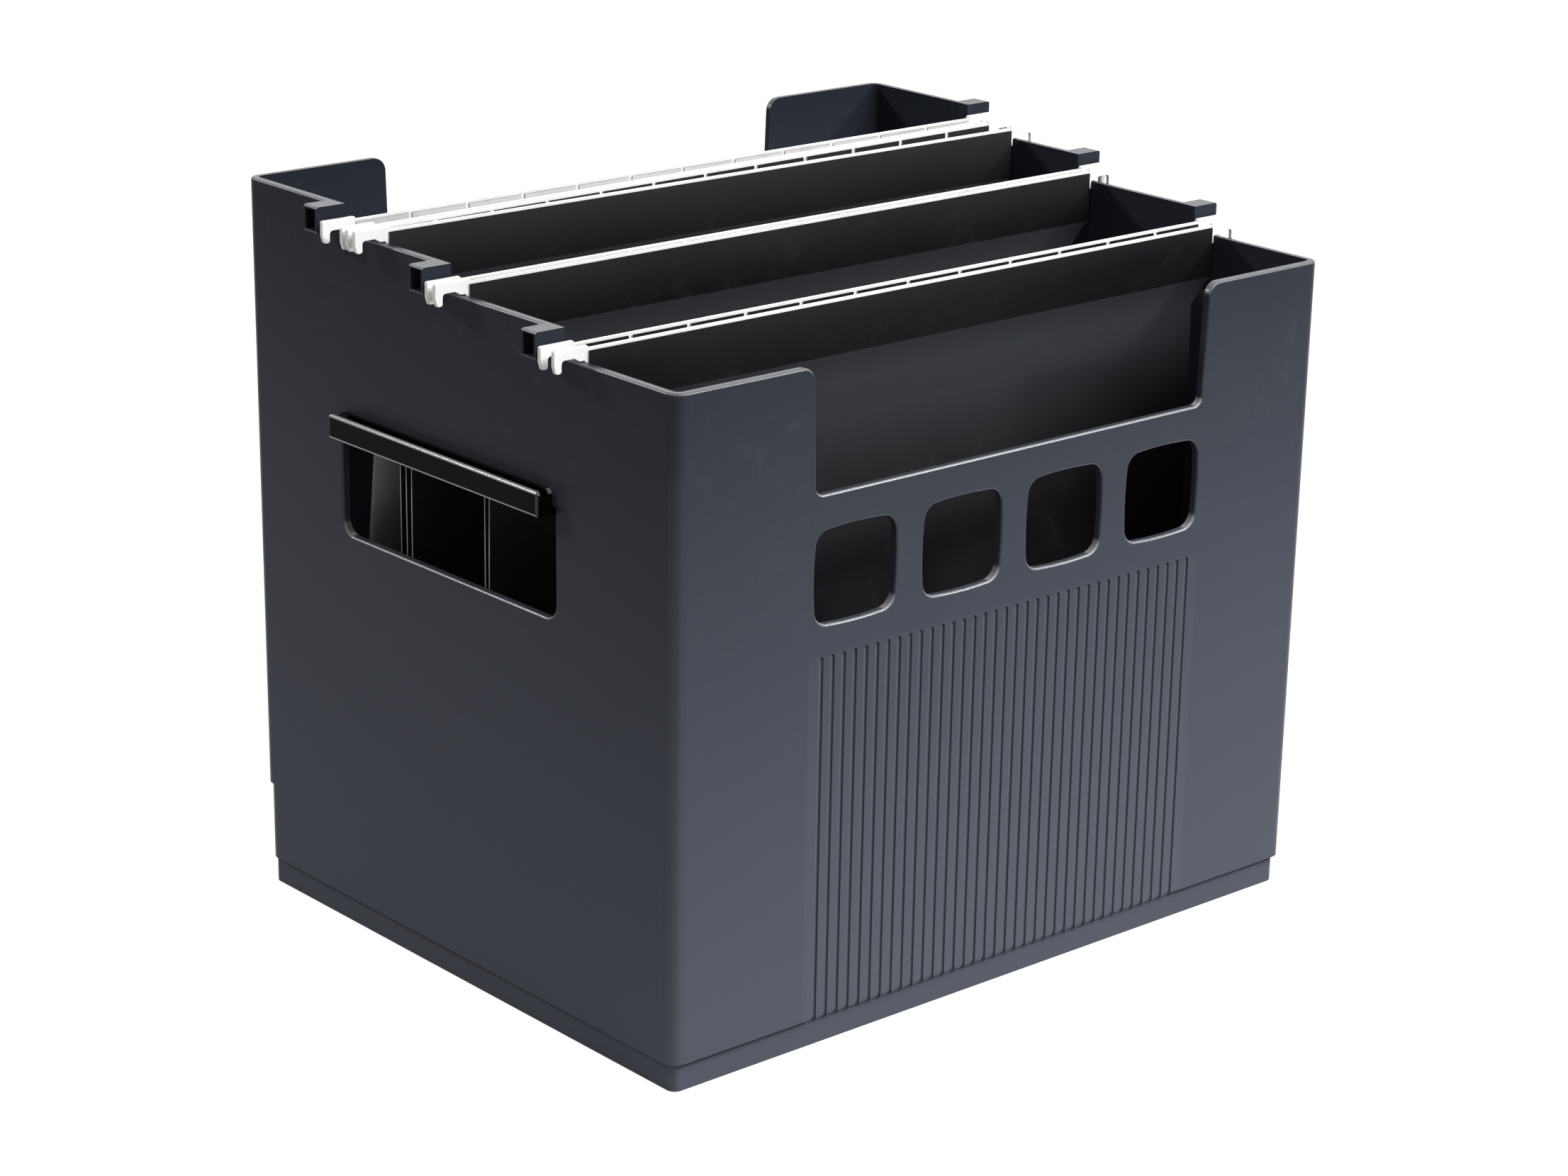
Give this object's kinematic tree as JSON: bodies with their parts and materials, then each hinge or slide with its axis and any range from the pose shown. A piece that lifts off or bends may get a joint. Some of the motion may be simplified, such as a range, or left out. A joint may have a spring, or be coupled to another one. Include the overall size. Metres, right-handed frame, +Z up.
{
  "type": "portable file box",
  "caption": "Open-topped portable file box: a moulded tub with stepped rims, clipped-on hand grips and hanging folders whose hooked rails slide on the rims.",
  "frame": {"origin": "on the floor, in the middle of the tub's outside length and width", "axes": "+X to the right along the hanging rails, -Y towards the low front wall, +Z up"},
  "size_m": [0.338, 0.254, 0.2839],
  "materials": {
    "tub_black": "charcoal black moulded plastic with a fine matte texture",
    "grip_gloss_black": "smooth glossy black moulded plastic",
    "card_black": "black coated card, smooth over the hem and matte below it",
    "rail_white": "white coated steel strip",
    "hook_white": "white moulded plastic"
  },
  "bodies": {
    "tub": {"tub": "tub_black", "left_grip": "grip_gloss_black", "right_grip": "grip_gloss_black"},
    "front_folder_back": {"front_folder_back_sheet": "card_black", "front_folder_back_rail": "rail_white", "front_folder_back_left_hook": "hook_white", "front_folder_back_right_hook": "hook_white"},
    "front_folder_front": {"front_folder_front_sheet": "card_black", "front_folder_front_rail": "rail_white", "front_folder_front_left_hook": "hook_white", "front_folder_front_right_hook": "hook_white"},
    "second_folder_back": {"second_folder_back_sheet": "card_black", "second_folder_back_rail": "rail_white", "second_folder_back_left_hook": "hook_white", "second_folder_back_right_hook": "hook_white"},
    "second_folder_front": {"second_folder_front_sheet": "card_black", "second_folder_front_rail": "rail_white", "second_folder_front_left_hook": "hook_white", "second_folder_front_right_hook": "hook_white"},
    "third_folder_back": {"third_folder_back_sheet": "card_black", "third_folder_back_rail": "rail_white", "third_folder_back_left_hook": "hook_white", "third_folder_back_right_hook": "hook_white"},
    "third_folder_front": {"third_folder_front_sheet": "card_black", "third_folder_front_rail": "rail_white", "third_folder_front_left_hook": "hook_white", "third_folder_front_right_hook": "hook_white"},
    "rear_folder_back": {"rear_folder_back_sheet": "card_black", "rear_folder_back_rail": "rail_white", "rear_folder_back_left_hook": "hook_white", "rear_folder_back_right_hook": "hook_white"},
    "rear_folder_front": {"rear_folder_front_sheet": "card_black", "rear_folder_front_rail": "rail_white", "rear_folder_front_left_hook": "hook_white", "rear_folder_front_right_hook": "hook_white"}
  },
  "joints": [
    {"name": "front_folder_slide", "type": "slide", "parent": "tub", "child": "front_folder_back", "axis": [0, -1, 0], "range_m": [-0.0015, 0.03]},
    {"name": "front_folder_open", "type": "slide", "parent": "front_folder_back", "child": "front_folder_front", "axis": [0, -1, 0], "range_m": [-0.0048, 0.0171]},
    {"name": "second_folder_slide", "type": "slide", "parent": "tub", "child": "second_folder_back", "axis": [0, -1, 0], "range_m": [-0.0017, 0.03]},
    {"name": "second_folder_open", "type": "slide", "parent": "second_folder_back", "child": "second_folder_front", "axis": [0, -1, 0], "range_m": [-0.0019, 0.0181]},
    {"name": "third_folder_slide", "type": "slide", "parent": "tub", "child": "third_folder_back", "axis": [0, -1, 0], "range_m": [-0.0009, 0.015]},
    {"name": "third_folder_open", "type": "slide", "parent": "third_folder_back", "child": "third_folder_front", "axis": [0, -1, 0], "range_m": [-0.002, 0.0135]},
    {"name": "rear_folder_slide", "type": "slide", "parent": "tub", "child": "rear_folder_back", "axis": [0, -1, 0], "range_m": [-0.0003, 0.0009]},
    {"name": "rear_folder_open", "type": "slide", "parent": "rear_folder_back", "child": "rear_folder_front", "axis": [0, -1, 0], "range_m": [-0.0057, 0.0009]}
  ]
}
